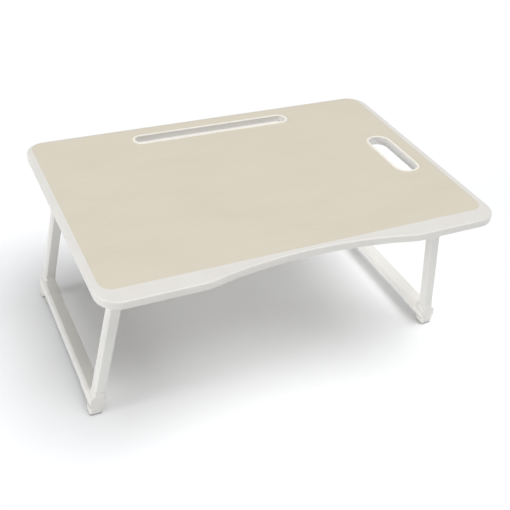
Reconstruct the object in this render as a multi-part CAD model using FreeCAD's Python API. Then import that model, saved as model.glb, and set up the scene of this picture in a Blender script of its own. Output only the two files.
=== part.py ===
import FreeCAD, Part
import math
import os

# Folding bed tray table, in millimetres.
# +X is to the right of the person sitting at it, +Y is away from them, +Z is up.
# The origin is on the surface that the four feet stand on, under the middle of the board.
# The legs are drawn open, as they are in use.

# ---------------------------------------------------------------- driving sizes

# the whole table
table_width = 600.0
table_depth = 400.0
table_height = 268.0            # from the feet to the face of the decor sheet

# the board, from its face down
decor_thickness = 1.0
core_thickness = 10.0
backing_thickness = 1.0

# the white moulding round the board
corner_radius = 32.0            # outside, seen from above
decor_corner_radius = 18.0
side_band = 10.0                # white band beside the decor sheet, left and right
back_band = 3.5
front_rim = 8.0                 # white band at the deepest part of the hollow
moulding_top_round = 2.0
moulding_bottom_round = 1.5
groove_depth = 1.5              # how far the core board reaches into the moulding
groove_clearance = 0.2

# the hollow in the front edge, for the body
hollow_depth = 19.0
hollow_radius = 660.0
hollow_shoulder_radius = 55.0

# the long slot that a tablet stands in
slot_length = 272.0             # over its rim
slot_width = 29.0               # over its rim
slot_from_back = 38.0           # back edge of the table to the middle of the slot
slot_rim = 4.0
slot_rim_height = 1.0
slot_wall = 1.2
slot_floor = 1.2

# the hand hole at the right
handle_length = 115.0           # over its rim
handle_width = 44.0             # over its rim
handle_end_radius = 20.0
handle_from_side = 54.0         # right edge of the table to the middle of the hole
handle_set_back = 4.0           # the hole's middle is this far behind the table's
handle_rim = 4.0
handle_rim_height = 1.0
handle_wall = 1.6
handle_ring_thickness = 1.2     # the ring that closes the liner under the board
handle_ring_reach = 4.0         # from the liner's wall to the ring's outer edge
handle_ring_clearance = 0.05

insert_clearance = 0.3          # round an insert in the holes that it drops into
rim_round = 0.5

# the folding legs
front_leg_inset = 81.0          # front edge of the table to the middle of the front uprights
rear_leg_inset = 41.0           # back edge of the table to the middle of the rear uprights
hinge_inset = 50.0              # side of the table to the hinge axis
splay_angle = 9.5               # open legs lean out by this much
tube_width = 16.0               # uprights, seen square to the frame
tube_depth = 18.0               # uprights, across the frame
bar_width = 18.0                # bottom bar, seen square to the frame
bar_depth = 22.0                # bottom bar, across the frame
tube_chamfer = 3.0
tube_edge_round = 0.8
tube_inner_round = 0.4
tube_wall = 1.2
bar_height = 24.0               # middle of the bottom bar above the feet

# moulded corners that join the tubes, and the rubber pads under them
corner_arm_up = 20.0            # middle of the bar to the joint line on the upright
corner_arm_along = 40.0         # middle of the upright to the joint line on the bar
corner_swell = 0.6              # the corner stands out from the tubes by this much
corner_gusset = 10.0
spigot_length = 22.0
spigot_clearance = 0.15
foot_taper = 2.4                # the foot is this much smaller all round at the floor
foot_overrun = 4.0              # the foot is drawn past the floor and then cut level
pad_thickness = 3.0
pad_stem_radius = 3.0
pad_stem_length = 7.0
pad_stem_clearance = 0.05
pad_stem_gap = 0.3              # above the stem's end in its hole

# hinge: a bracket under the board, a rivet, and an end fitting in each upright
bracket_plate = 2.5
bracket_length = 54.0           # along the hinge axis
bracket_inner_reach = 22.0      # from the hinge axis towards the middle of the table
bracket_outer_reach = 20.0
bracket_corner_radius = 5.0
cheek_thickness = 4.0
cheek_round = 8.0               # round the hinge axis at the foot of a cheek
stop_wall = 3.0
stop_reach = 18.0               # how far down the leg the stop bears, from the axis
stop_rib = 2.5
stop_rib_drop = 13.0            # from the axis down to the tip of a rib
stop_rib_margin = 1.0           # from the rib to the edge of the plate
fold_clearance = 1.0            # between the folded leg and the bracket plate
stop_clearance = 0.3            # between the open leg and its stop
washer_thickness = 0.8
washer_radius = 7.0
washer_clearance = 0.1          # on each face of a washer
rivet_radius = 3.0
rivet_clearance = 0.05
rivet_head_radius = 5.0
rivet_head = 1.8
rivet_head_round = 1.1
knuckle_length = 14.0           # hinge axis to the top end of the tube
knuckle_shoulder = 4.5          # hinge axis to where the knuckle takes the tube's outline
fitting_spigot_length = 28.0

# screws
board_screw_radius = 1.75
board_screw_length = 10.0
board_screw_head_radius = 3.5
board_screw_margin = 8.0        # from a screw to the inner or outer edge of the bracket
fitting_screw_radius = 1.5
fitting_screw_length = 8.0
fitting_screw_head_radius = 3.0
fitting_screw_from_end = 12.0   # top end of the tube down to the screw
screw_head = 1.9
screw_head_round = 1.0
screw_tip_radius = 0.3
screw_clearance = 0.05
cross_arm = 3.6                 # tip to tip of the cross in a screw's head
cross_width = 0.9
cross_depth = 1.0

# ---------------------------------------------------------------- worked out from them

half_width = table_width / 2
half_depth = table_depth / 2
front_band = hollow_depth + front_rim
board_thickness = decor_thickness + core_thickness + backing_thickness
decor_low = table_height - decor_thickness
core_low = decor_low - core_thickness
underside = table_height - board_thickness

slot_centre_y = half_depth - slot_from_back
handle_centre_x = half_width - handle_from_side
handle_centre_y = handle_set_back

hinge_x = half_width - hinge_inset
hinge_drop = bracket_plate + fold_clearance + tube_depth / 2
hinge_z = underside - hinge_drop
splay = math.radians(splay_angle)
bar_drop = (hinge_z - bar_height) / math.cos(splay)
half_span = (table_depth - front_leg_inset - rear_leg_inset) / 2
leg_set_back = (front_leg_inset - rear_leg_inset) / 2
cheek_gap = tube_width / 2 + washer_thickness + 2 * washer_clearance
cheek_outside = cheek_gap + cheek_thickness
board_screw_side = (cheek_outside + bracket_length / 2) / 2
board_screw_reaches = (board_screw_margin - bracket_inner_reach,
                       bracket_outer_reach - board_screw_margin)
fitting_screw_drop = knuckle_length + fitting_screw_from_end
post_half = tube_width / 2 + corner_swell
arm_half = bar_width / 2 + corner_swell

vec = FreeCAD.Vector
x_axis = vec(1, 0, 0)
y_axis = vec(0, 1, 0)
z_axis = vec(0, 0, 1)
centre = vec(0, 0, 0)


# ---------------------------------------------------------------- shared shapes

def rounded_polygon(points, radii):
    """Closed wire through the points, each corner turned by an arc of its own radius."""
    count = len(points)
    edges = []
    ends = []
    for i in range(count):
        before = (points[i - 1] - points[i]).normalize()
        after = (points[(i + 1) % count] - points[i]).normalize()
        half_turn = before.getAngle(after) / 2
        setback = radii[i] / math.tan(half_turn)
        start = points[i] + before * setback
        end = points[i] + after * setback
        to_centre = (before + after).normalize()
        middle = points[i] + to_centre * (radii[i] / math.sin(half_turn) - radii[i])
        ends.append((start, middle, end))
    for i in range(count):
        start, middle, end = ends[i]
        edges.append(Part.Arc(start, middle, end).toShape())
        next_start = ends[(i + 1) % count][0]
        if end.distanceToPoint(next_start) > 1e-6:
            edges.append(Part.makeLine(end, next_start))
    return Part.Wire(edges)


def prism(wire, direction):
    return Part.Face(wire).extrude(direction)


def rounded_slab(x_low, x_high, y_low, y_high, radius, z_low, z_high):
    corners = [vec(x_low, y_low, z_low), vec(x_high, y_low, z_low)]
    corners += [vec(x_high, y_high, z_low), vec(x_low, y_high, z_low)]
    return prism(rounded_polygon(corners, [radius] * 4), vec(0, 0, z_high - z_low))


def centred_slab(centre_x, centre_y, size_x, size_y, radius, z_low, z_high):
    x_low = centre_x - size_x / 2
    y_low = centre_y - size_y / 2
    return rounded_slab(x_low, x_low + size_x, y_low, y_low + size_y, radius, z_low, z_high)


def block(x_low, x_high, y_low, y_high, z_low, z_high):
    return Part.makeBox(x_high - x_low, y_high - y_low, z_high - z_low, vec(x_low, y_low, z_low))


def rod(radius, length, start, direction):
    return Part.makeCylinder(radius, length, start, direction)


def tube_section(width, depth, chamfer, edge_round, u_axis, v_axis, at):
    """Chamfered rectangle, width along u_axis and depth along v_axis, edges eased."""
    half_w = width / 2
    half_d = depth / 2
    corners = []
    for sign_u, sign_v, turn in ((1, 1, 1), (-1, 1, -1), (-1, -1, 1), (1, -1, -1)):
        near_u = (sign_u * half_w, sign_v * (half_d - chamfer))
        near_v = (sign_u * (half_w - chamfer), sign_v * half_d)
        pair = [near_u, near_v] if turn > 0 else [near_v, near_u]
        corners += pair
    points = [at + u_axis * u + v_axis * v for u, v in corners]
    return rounded_polygon(points, [edge_round] * len(points))


def shrunk_section(width, depth, shrink, eased, width_axis, at):
    """A tube's outline, moved in (or, if negative, out) square to every face."""
    chamfer = tube_chamfer - shrink * (2 - math.sqrt(2))
    return tube_section(width - 2 * shrink, depth - 2 * shrink, chamfer, eased, width_axis, x_axis, at)


def upright_section(at, shrink=0.0, eased=tube_edge_round):
    return shrunk_section(tube_width, tube_depth, shrink, eased, y_axis, at)


def bar_section(at, shrink=0.0, eased=tube_edge_round):
    return shrunk_section(bar_width, bar_depth, shrink, eased, z_axis, at)


def foot_section(at, shrink):
    """The bar's outline stood on end, for the foot below a corner."""
    return shrunk_section(bar_width, bar_depth, shrink, tube_edge_round, y_axis, at)


def round_edges(shape, radius, wanted):
    """Round the edges that the test picks out."""
    edges = [edge for edge in shape.Edges if wanted(edge)]
    return shape.makeFillet(radius, edges)


def level_edge(edge, height):
    """True for an edge that lies flat at this height."""
    box = edge.BoundBox
    return abs(box.ZMin - height) < 1e-4 and abs(box.ZMax - height) < 1e-4


# ---------------------------------------------------------------- the board

def board_outline(z_low):
    """Outer edge of the table, with the hollow in its front edge."""
    front = -half_depth
    belly_centre_y = front + hollow_depth - hollow_radius
    shoulder_centre_y = front + hollow_shoulder_radius
    rise = shoulder_centre_y - belly_centre_y
    reach = hollow_radius + hollow_shoulder_radius
    shoulder_x = math.sqrt(reach ** 2 - rise ** 2)
    share = hollow_radius / reach
    meet = vec(shoulder_x * share, belly_centre_y + rise * share, z_low)
    lean = math.asin(shoulder_x / reach) / 2
    shoulder_middle = vec(shoulder_x - hollow_shoulder_radius * math.sin(lean),
                          shoulder_centre_y - hollow_shoulder_radius * math.cos(lean), z_low)

    def flipped(point):
        return vec(-point.x, point.y, point.z)

    r = corner_radius
    diagonal = r * (1 - math.sqrt(0.5))
    shoulder_end = vec(shoulder_x, front, z_low)
    front_corner = [vec(half_width - r, front, z_low),
                    vec(half_width - diagonal, front + diagonal, z_low),
                    vec(half_width, front + r, z_low)]
    back_corner = [vec(half_width, half_depth - r, z_low),
                   vec(half_width - diagonal, half_depth - diagonal, z_low),
                   vec(half_width - r, half_depth, z_low)]
    right = [Part.Arc(meet, shoulder_middle, shoulder_end).toShape(),
             Part.makeLine(shoulder_end, front_corner[0]),
             Part.Arc(*front_corner).toShape(),
             Part.makeLine(front_corner[2], back_corner[0]),
             Part.Arc(*back_corner).toShape()]
    back = Part.makeLine(back_corner[2], flipped(back_corner[2]))
    left = [Part.Arc(*[flipped(point) for point in reversed(back_corner)]).toShape(),
            Part.makeLine(flipped(back_corner[0]), flipped(front_corner[2])),
            Part.Arc(*[flipped(point) for point in reversed(front_corner)]).toShape(),
            Part.makeLine(flipped(front_corner[0]), flipped(shoulder_end)),
            Part.Arc(flipped(shoulder_end), flipped(shoulder_middle), flipped(meet)).toShape()]
    belly_middle = vec(0, front + hollow_depth, z_low)
    belly = Part.Arc(flipped(meet), belly_middle, meet).toShape()
    return Part.Wire(right + [back] + left + [belly])


def decor_slab(grow, z_low, z_high):
    """Slab with the decor sheet's outline, grown or shrunk all round."""
    side = half_width - side_band + grow
    front = -half_depth + front_band - grow
    back = half_depth - back_band + grow
    return rounded_slab(-side, side, front, back, decor_corner_radius + grow, z_low, z_high)


def slot_slab(grow, z_low, z_high):
    """Slab with the outline of the tablet slot's rim, grown or shrunk all round."""
    length = slot_length + 2 * grow
    width = slot_width + 2 * grow
    return centred_slab(0, slot_centre_y, length, width, width / 2, z_low, z_high)


def handle_slab(grow, z_low, z_high):
    """Slab with the outline of the hand hole's rim, grown or shrunk all round."""
    width = handle_width + 2 * grow
    length = handle_length + 2 * grow
    radius = handle_end_radius + grow
    return centred_slab(handle_centre_x, handle_centre_y, width, length, radius, z_low, z_high)


slot_body_grow = slot_wall - slot_rim
handle_body_grow = handle_wall - handle_rim


def insert_holes(z_low, z_high):
    slot_hole = slot_slab(slot_body_grow + insert_clearance, z_low, z_high)
    handle_hole = handle_slab(handle_body_grow + insert_clearance, z_low, z_high)
    return slot_hole, handle_hole


def bracket_places():
    """Side and middle of each of the four hinge brackets."""
    places = []
    for side in (-1, 1):
        for end in (-1, 1):
            places.append((side, leg_set_back + end * half_span))
    return places


def board_screw_places():
    places = []
    for side, y in bracket_places():
        for reach in board_screw_reaches:
            for away in (-board_screw_side, board_screw_side):
                places.append((side * (hinge_x + reach), y + away))
    return places


def pilot_holes(z_low, z_high):
    radius = board_screw_radius + screw_clearance
    return [rod(radius, z_high - z_low, vec(x, y, z_low), z_axis) for x, y in board_screw_places()]


def make_decor_sheet():
    sheet = decor_slab(0, decor_low, table_height)
    slot_hole, handle_hole = insert_holes(decor_low, table_height)
    return sheet.cut(slot_hole).cut(handle_hole)


def make_core_board():
    board = decor_slab(groove_depth - groove_clearance, core_low, decor_low)
    slot_hole, handle_hole = insert_holes(core_low, decor_low)
    board = board.cut(slot_hole).cut(handle_hole)
    screw_end = underside - bracket_plate + board_screw_length + screw_clearance
    return board.cut(Part.makeCompound(pilot_holes(core_low, screw_end)))


def make_backing_sheet():
    sheet = decor_slab(0, underside, core_low)
    handle_hole = insert_holes(underside, core_low)[1]
    sheet = sheet.cut(handle_hole)
    return sheet.cut(Part.makeCompound(pilot_holes(underside, core_low)))


def make_edge_moulding():
    ring = prism(board_outline(underside), vec(0, 0, board_thickness))
    ring = round_edges(ring, moulding_top_round, lambda edge: level_edge(edge, table_height))
    ring = round_edges(ring, moulding_bottom_round, lambda edge: level_edge(edge, underside))
    ring = ring.cut(decor_slab(0, underside, table_height))
    return ring.cut(decor_slab(groove_depth, core_low, decor_low))


def make_slot_tray():
    rim_top = table_height + slot_rim_height
    rim = slot_slab(0, table_height, rim_top)
    rim = round_edges(rim, rim_round, lambda edge: level_edge(edge, rim_top))
    body = slot_slab(slot_body_grow, core_low, table_height)
    tray = rim.fuse(body).removeSplitter()
    return tray.cut(slot_slab(-slot_rim, core_low + slot_floor, rim_top))


def make_handle_liner():
    rim_top = table_height + handle_rim_height
    low = underside - handle_ring_thickness
    rim = handle_slab(0, table_height, rim_top)
    rim = round_edges(rim, rim_round, lambda edge: level_edge(edge, rim_top))
    body = handle_slab(handle_body_grow, low, table_height)
    liner = rim.fuse(body).removeSplitter()
    return liner.cut(handle_slab(-handle_rim, low, rim_top))


def make_handle_ring():
    low = underside - handle_ring_thickness
    ring = handle_slab(handle_body_grow + handle_ring_reach, low, underside)
    ring = round_edges(ring, rim_round, lambda edge: level_edge(edge, low))
    return ring.cut(handle_slab(handle_body_grow + handle_ring_clearance, low, underside))


# ---------------------------------------------------------------- hinges
# Hinge parts are drawn for the right-hand rear leg, with the hinge axis along Y through
# the origin, and are then moved to their places.

def put(shape, side, end):
    """Move a hinge or leg part to its side and end; at the left and front it is mirrored."""
    shape = shape.translated(vec(hinge_x, half_span, hinge_z))
    if end < 0:
        shape = shape.mirror(centre, y_axis)
    shape = shape.translated(vec(0, leg_set_back, 0))
    if side < 0:
        shape = shape.mirror(centre, x_axis)
    return shape


def leaned(shape):
    """Turn a part that is drawn on an upright leg out to the splay of the open leg."""
    return shape.rotated(centre, y_axis, -splay_angle)


def leg_wall(near, thickness, z_low, z_high, half_length):
    """Slab square to the leg's outer face, from a distance outside the hinge axis."""
    return leaned(block(near, near + thickness, -half_length, half_length, z_low, z_high))


def make_bracket():
    plate_low = hinge_drop - bracket_plate
    half_length = bracket_length / 2
    plate = rounded_slab(-bracket_inner_reach, bracket_outer_reach, -half_length, half_length,
                         bracket_corner_radius, plate_low, hinge_drop)
    stop_near = tube_depth / 2 + stop_clearance
    above = block(-table_width, table_width, -table_depth, table_depth, plate_low, table_height)
    wall = leg_wall(stop_near, stop_wall, -stop_reach, 2 * hinge_drop, cheek_outside)
    bracket = plate.fuse(wall.cut(above))
    for sign in (-1, 1):
        y_low = cheek_gap if sign > 0 else -cheek_outside
        y_high = y_low + cheek_thickness
        cheek = block(-cheek_round, stop_near, y_low, y_high, 0, plate_low)
        cheek = cheek.fuse(rod(cheek_round, cheek_thickness, vec(0, y_low, 0), y_axis))
        web = leaned(block(0, stop_near + stop_wall, y_low, y_high, -cheek_round, 0))
        bracket = bracket.fuse(cheek).fuse(web)
        rib = make_stop_rib(plate_low, stop_near + stop_wall / 2)
        bracket = bracket.fuse(rib.translated(vec(0, sign * cheek_gap / 2, 0)))
    bracket = bracket.removeSplitter()
    bore = rod(rivet_radius + rivet_clearance, 2 * bracket_length, vec(0, -bracket_length, 0), y_axis)
    bracket = bracket.cut(bore)
    for reach in board_screw_reaches:
        for away in (-board_screw_side, board_screw_side):
            start = vec(reach, away, plate_low)
            hole = rod(board_screw_radius + screw_clearance, bracket_plate, start, z_axis)
            bracket = bracket.cut(hole)
    return bracket


def make_stop_rib(plate_low, wall_middle):
    """Three-cornered rib behind the stop wall, up to the bracket plate."""
    lean = math.tan(splay)
    foot = vec(wall_middle + stop_rib_drop * lean, 0, -stop_rib_drop)
    top = vec(wall_middle - plate_low * lean, 0, plate_low)
    out = vec(bracket_outer_reach - stop_rib_margin, 0, plate_low)
    rib = Part.Face(Part.makePolygon([foot, top, out, foot])).extrude(vec(0, stop_rib, 0))
    return rib.translated(vec(0, -stop_rib / 2, 0))


def make_rivet():
    half_length = cheek_outside
    shank = rod(rivet_radius, 2 * half_length, vec(0, -half_length, 0), y_axis)
    for sign in (-1, 1):
        head = rod(rivet_head_radius, rivet_head, vec(0, sign * half_length, 0), y_axis * sign)
        outer_y = sign * (half_length + rivet_head)
        head = round_edges(head, rivet_head_round, lambda edge: edge_across_y(edge, outer_y))
        shank = shank.fuse(head)
    return shank.removeSplitter()


def edge_across_y(edge, y):
    """True for an edge that lies square to Y at this y."""
    box = edge.BoundBox
    return abs(box.YMin - y) < 1e-4 and abs(box.YMax - y) < 1e-4


def make_washers():
    washers = []
    for sign in (-1, 1):
        start = vec(0, sign * (tube_width / 2 + washer_clearance), 0)
        disc = rod(washer_radius, washer_thickness, start, y_axis * sign)
        hole = rod(rivet_radius + rivet_clearance, washer_thickness, start, y_axis * sign)
        washers.append(disc.cut(hole))
    return washers


def make_screw(radius, head_radius, length):
    """Pan-head screw with its point at +Z and the underside of its head at z = 0."""
    tip = 2 * radius
    shank = rod(radius, length - tip, centre, z_axis)
    point = Part.makeCone(radius, screw_tip_radius, tip, vec(0, 0, length - tip), z_axis)
    head = rod(head_radius, screw_head, vec(0, 0, -screw_head), z_axis)
    head = round_edges(head, screw_head_round, lambda edge: level_edge(edge, -screw_head))
    screw = head.fuse(shank).fuse(point).removeSplitter()
    arm = cross_arm / 2
    half = cross_width / 2
    cross_low = -screw_head
    cross_high = cross_low + cross_depth
    cross_one = block(-arm, arm, -half, half, cross_low, cross_high)
    cross_two = block(-half, half, -arm, arm, cross_low, cross_high)
    return screw.cut(cross_one.fuse(cross_two))


def make_board_screws(side):
    screws = []
    screw = make_screw(board_screw_radius, board_screw_head_radius, board_screw_length)
    for x, y in board_screw_places():
        if x * side > 0:
            screws.append(screw.translated(vec(x, y, underside - bracket_plate)))
    return screws


# ---------------------------------------------------------------- legs
# Leg parts are drawn on an upright leg with the hinge axis at the origin, the leg
# running down -Z and its outer face towards +X.

def make_upright():
    top = vec(0, 0, -knuckle_length)
    length = bar_drop - corner_arm_up - knuckle_length
    tube = prism(upright_section(top), vec(0, 0, -length))
    tube = tube.cut(prism(upright_section(top, tube_wall, tube_inner_round), vec(0, 0, -length)))
    return leaned(tube.cut(fitting_screw_hole()))


def make_end_fitting():
    """Rounded knuckle on the rivet, with a spigot down into the tube."""
    half = tube_width / 2
    head = rod(tube_depth / 2, tube_width, vec(0, -half, 0), y_axis)
    neck_top = vec(0, 0, -knuckle_shoulder)
    neck = prism(upright_section(neck_top), vec(0, 0, knuckle_shoulder - knuckle_length))
    shoulder = block(-tube_depth / 2, tube_depth / 2, -half, half, -knuckle_shoulder, 0)
    fitting = head.fuse(shoulder).fuse(neck)
    spigot_section = spigot_outline(upright_section, vec(0, 0, -knuckle_length))
    spigot = prism(spigot_section, vec(0, 0, -fitting_spigot_length))
    fitting = fitting.fuse(spigot).removeSplitter()
    bore = rod(rivet_radius + rivet_clearance, tube_width, vec(0, -half, 0), y_axis)
    return leaned(fitting.cut(bore).cut(fitting_screw_hole()))


def spigot_outline(section, at):
    """Outline of a plug that slides into a tube."""
    return section(at, tube_wall + spigot_clearance, tube_inner_round)


def fitting_screw_hole():
    """Pilot hole for the screw that ties an end fitting into its tube, from the inner face."""
    start = vec(-tube_depth / 2, 0, -fitting_screw_drop)
    radius = fitting_screw_radius + screw_clearance
    return rod(radius, fitting_screw_length + screw_clearance, start, x_axis)


def make_fitting_screw():
    screw = make_screw(fitting_screw_radius, fitting_screw_head_radius, fitting_screw_length)
    screw = screw.rotated(centre, y_axis, 90)
    return leaned(screw.translated(vec(-tube_depth / 2, 0, -fitting_screw_drop)))


def make_bottom_bar():
    half_length = half_span - corner_arm_along
    start = vec(0, -half_length, -bar_drop)
    bar = prism(bar_section(start), vec(0, 2 * half_length, 0))
    bar = bar.cut(prism(bar_section(start, tube_wall, tube_inner_round), vec(0, 2 * half_length, 0)))
    return leaned(bar)


def foot_stub():
    """Tapered foot below the corner, running a little past the floor."""
    top = -bar_drop - arm_half
    floor = -hinge_z / math.cos(splay)
    taper_at_end = foot_taper * (top - floor + foot_overrun) / (top - floor)
    upper = foot_section(vec(0, 0, top), -corner_swell)
    lower = foot_section(vec(0, 0, floor - foot_overrun), taper_at_end - corner_swell)
    return Part.makeLoft([upper, lower], True, True)


def floor_slab(z_low, z_high):
    """Level slab in the leg's own place, measured up from the floor."""
    reach = table_height
    return block(-reach, reach, -reach, reach, z_low - hinge_z, z_high - hinge_z)


def pad_stem(grow, length):
    foot_x = hinge_z * math.tan(splay)
    return rod(pad_stem_radius + grow, length, vec(foot_x, 0, pad_thickness - hinge_z), z_axis)


def make_corner():
    """Post, arm and gusset in one moulding, with a foot and a spigot for each tube."""
    seam = vec(0, 0, -bar_drop + corner_arm_up)
    post = prism(upright_section(seam, -corner_swell), vec(0, 0, -corner_arm_up - arm_half))
    arm_start = vec(0, post_half, -bar_drop)
    arm = prism(bar_section(arm_start, -corner_swell), vec(0, -corner_arm_along - post_half, 0))
    spigot_up = prism(spigot_outline(upright_section, seam), vec(0, 0, spigot_length))
    spigot_start = vec(0, -corner_arm_along, -bar_drop)
    spigot_along = prism(spigot_outline(bar_section, spigot_start), vec(0, -spigot_length, 0))
    corner = post.fuse(arm).fuse(make_gusset()).fuse(foot_stub()).fuse(spigot_up).fuse(spigot_along)
    corner = leaned(corner.removeSplitter())
    corner = corner.cut(floor_slab(-table_height, pad_thickness))
    return corner.cut(pad_stem(pad_stem_clearance, pad_stem_length + pad_stem_gap))


def make_gusset():
    """Three-cornered web in the inside of the corner."""
    half_thickness = tube_depth / 2 - tube_chamfer
    inner_y = -post_half + tube_chamfer
    inner_z = -bar_drop + arm_half - tube_chamfer
    reach = corner_gusset + tube_chamfer
    inside = vec(-half_thickness, inner_y, inner_z)
    along = inside - y_axis * reach
    up = inside + z_axis * reach
    web = Part.Face(Part.makePolygon([inside, along, up, inside]))
    return web.extrude(vec(2 * half_thickness, 0, 0))


def make_foot_pad():
    sole = leaned(foot_stub()).common(floor_slab(0, pad_thickness))
    return sole.fuse(pad_stem(0, pad_stem_length)).removeSplitter()


# ---------------------------------------------------------------- the assembly

sides = {"left": -1, "right": 1}
ends = {"front": -1, "rear": 1}


def make_board_parts():
    return {
        "decor_sheet": [make_decor_sheet()],
        "core_board": [make_core_board()],
        "backing_sheet": [make_backing_sheet()],
        "edge_moulding": [make_edge_moulding()],
        "tablet_slot_tray": [make_slot_tray()],
        "handle_liner": [make_handle_liner()],
        "handle_lower_ring": [make_handle_ring()],
    }


def make_leg_parts():
    parts = {}
    single = {
        "hinge_bracket": make_bracket(),
        "hinge_rivet": make_rivet(),
        "end_fitting": make_end_fitting(),
        "upright": make_upright(),
        "corner": make_corner(),
        "foot_pad": make_foot_pad(),
    }
    washers = make_washers()
    fitting_screw = make_fitting_screw()
    bar = make_bottom_bar()
    for side_name, side in sides.items():
        for end_name, end in ends.items():
            for piece_name, shape in single.items():
                parts[f"{side_name}_{end_name}_{piece_name}"] = [put(shape, side, end)]
        parts[f"{side_name}_bottom_bar"] = [put(bar.translated(vec(0, -half_span, 0)), side, 1)]
        parts[f"{side_name}_bracket_screws"] = make_board_screws(side)
        parts[f"{side_name}_hinge_washers"] = [put(w, side, end) for end in ends.values() for w in washers]
        parts[f"{side_name}_fitting_screws"] = [put(fitting_screw, side, end) for end in ends.values()]
    return parts


def main():
    os.makedirs("parts", exist_ok=True)
    parts = make_board_parts()
    parts.update(make_leg_parts())
    for name, solids in parts.items():
        shape = solids[0] if len(solids) == 1 else Part.makeCompound(solids)
        if not shape.isValid():
            raise RuntimeError(name + " is not a valid shape")
        shape.exportStep("parts/" + name + ".step")
        box = shape.BoundBox
        print(f"{name}: {len(shape.Solids)} solid(s), {shape.Volume / 1000:.2f} cm3, "
              f"{box.XLength:.1f} x {box.YLength:.1f} x {box.ZLength:.1f} mm")


main()
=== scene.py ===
import bmesh
import bpy
import math
from mathutils import Matrix, Vector


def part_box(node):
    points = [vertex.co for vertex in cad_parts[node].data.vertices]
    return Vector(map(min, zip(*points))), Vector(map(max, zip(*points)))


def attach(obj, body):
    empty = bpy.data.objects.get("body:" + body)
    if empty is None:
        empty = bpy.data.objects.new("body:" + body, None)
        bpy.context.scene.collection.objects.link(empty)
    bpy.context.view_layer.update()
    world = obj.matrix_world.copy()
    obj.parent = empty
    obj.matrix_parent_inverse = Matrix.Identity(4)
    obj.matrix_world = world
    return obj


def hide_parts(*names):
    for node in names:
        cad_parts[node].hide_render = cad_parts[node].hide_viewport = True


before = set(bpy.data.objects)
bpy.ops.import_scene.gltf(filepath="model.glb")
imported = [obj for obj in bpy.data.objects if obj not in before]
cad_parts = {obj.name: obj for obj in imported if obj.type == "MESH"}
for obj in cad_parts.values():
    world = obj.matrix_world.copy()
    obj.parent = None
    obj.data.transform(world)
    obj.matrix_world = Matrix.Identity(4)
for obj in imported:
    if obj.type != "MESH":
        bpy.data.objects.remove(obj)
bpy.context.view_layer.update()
print("frame loaded,", len(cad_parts), "nodes")

mm = 0.001
sideNames = {"left": -1, "right": 1}  # and the way out from the middle, along X
endNames = ("front", "rear")
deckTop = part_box("decor_sheet")[1].z  # the height of the table's face


# colours and materials

def paint(red, green, blue):  # 0 to 255 as seen on a screen, to scene light
    def toLight(value):
        share = value / 255
        return share / 12.92 if share <= 0.04045 else ((share + 0.055) / 1.055) ** 2.4
    return (toLight(red), toLight(green), toLight(blue), 1.0)


def startMaterial(name):
    material = bpy.data.materials.new(name)
    material.use_nodes = True
    tree = material.node_tree
    tree.nodes.clear()
    output = tree.nodes.new("ShaderNodeOutputMaterial")
    shader = tree.nodes.new("ShaderNodeBsdfPrincipled")
    tree.links.new(shader.outputs["BSDF"], output.inputs["Surface"])
    return material, tree, shader


def plug(tree, socket, value):  # a value is set, a socket is joined
    if isinstance(value, bpy.types.NodeSocket):
        tree.links.new(value, socket)
    else:
        socket.default_value = value


def stretched(tree, scale):  # object coordinates, drawn out by a different amount each way
    place = tree.nodes.new("ShaderNodeTexCoord")
    mapping = tree.nodes.new("ShaderNodeMapping")
    mapping.inputs["Scale"].default_value = scale
    tree.links.new(place.outputs["Object"], mapping.inputs["Vector"])
    return mapping.outputs["Vector"]


def noise(tree, scale, detail, roughness):
    texture = tree.nodes.new("ShaderNodeTexNoise")
    texture.inputs["Scale"].default_value = 1.0
    texture.inputs["Detail"].default_value = detail
    texture.inputs["Roughness"].default_value = roughness
    tree.links.new(stretched(tree, scale), texture.inputs["Vector"])
    return texture.outputs["Fac"]


def spots(tree, scale):
    texture = tree.nodes.new("ShaderNodeTexVoronoi")
    texture.inputs["Scale"].default_value = 1.0
    tree.links.new(stretched(tree, scale), texture.inputs["Vector"])
    return texture.outputs["Distance"]


def spread(tree, value, low, high, outLow, outHigh):
    node = tree.nodes.new("ShaderNodeMapRange")
    node.inputs["From Min"].default_value = low
    node.inputs["From Max"].default_value = high
    node.inputs["To Min"].default_value = outLow
    node.inputs["To Max"].default_value = outHigh
    tree.links.new(value, node.inputs["Value"])
    return node.outputs["Result"]


def combine(tree, operation, first, second):
    node = tree.nodes.new("ShaderNodeMath")
    node.operation = operation
    plug(tree, node.inputs[0], first)
    plug(tree, node.inputs[1], second)
    return node.outputs["Value"]


def blendColours(tree, factor, first, second):
    node = tree.nodes.new("ShaderNodeMix")
    node.data_type = "RGBA"
    plug(tree, node.inputs["Factor"], factor)
    plug(tree, node.inputs["A"], first)
    plug(tree, node.inputs["B"], second)
    return node.outputs["Result"]


def mottled(tree, pattern, between, amount, first, second):  # second shows where the pattern is high
    return blendColours(tree, spread(tree, pattern, *between, 0.0, amount), first, second)


def addRoughness(tree, shader, pattern, atLow, atHigh):
    varied = spread(tree, pattern, *usualRange, atLow, atHigh)
    tree.links.new(varied, shader.inputs["Roughness"])


def addBump(tree, shader, height, depth):
    node = tree.nodes.new("ShaderNodeBump")
    node.inputs["Strength"].default_value = 1.0
    node.inputs["Distance"].default_value = depth
    tree.links.new(height, node.inputs["Height"])
    tree.links.new(node.outputs["Normal"], shader.inputs["Normal"])


usualRange = (0.3, 0.7)  # nearly all of a noise pattern lies in it

# in the looks below, a noise is its scale along X, Y and Z, its detail and its roughness

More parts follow.
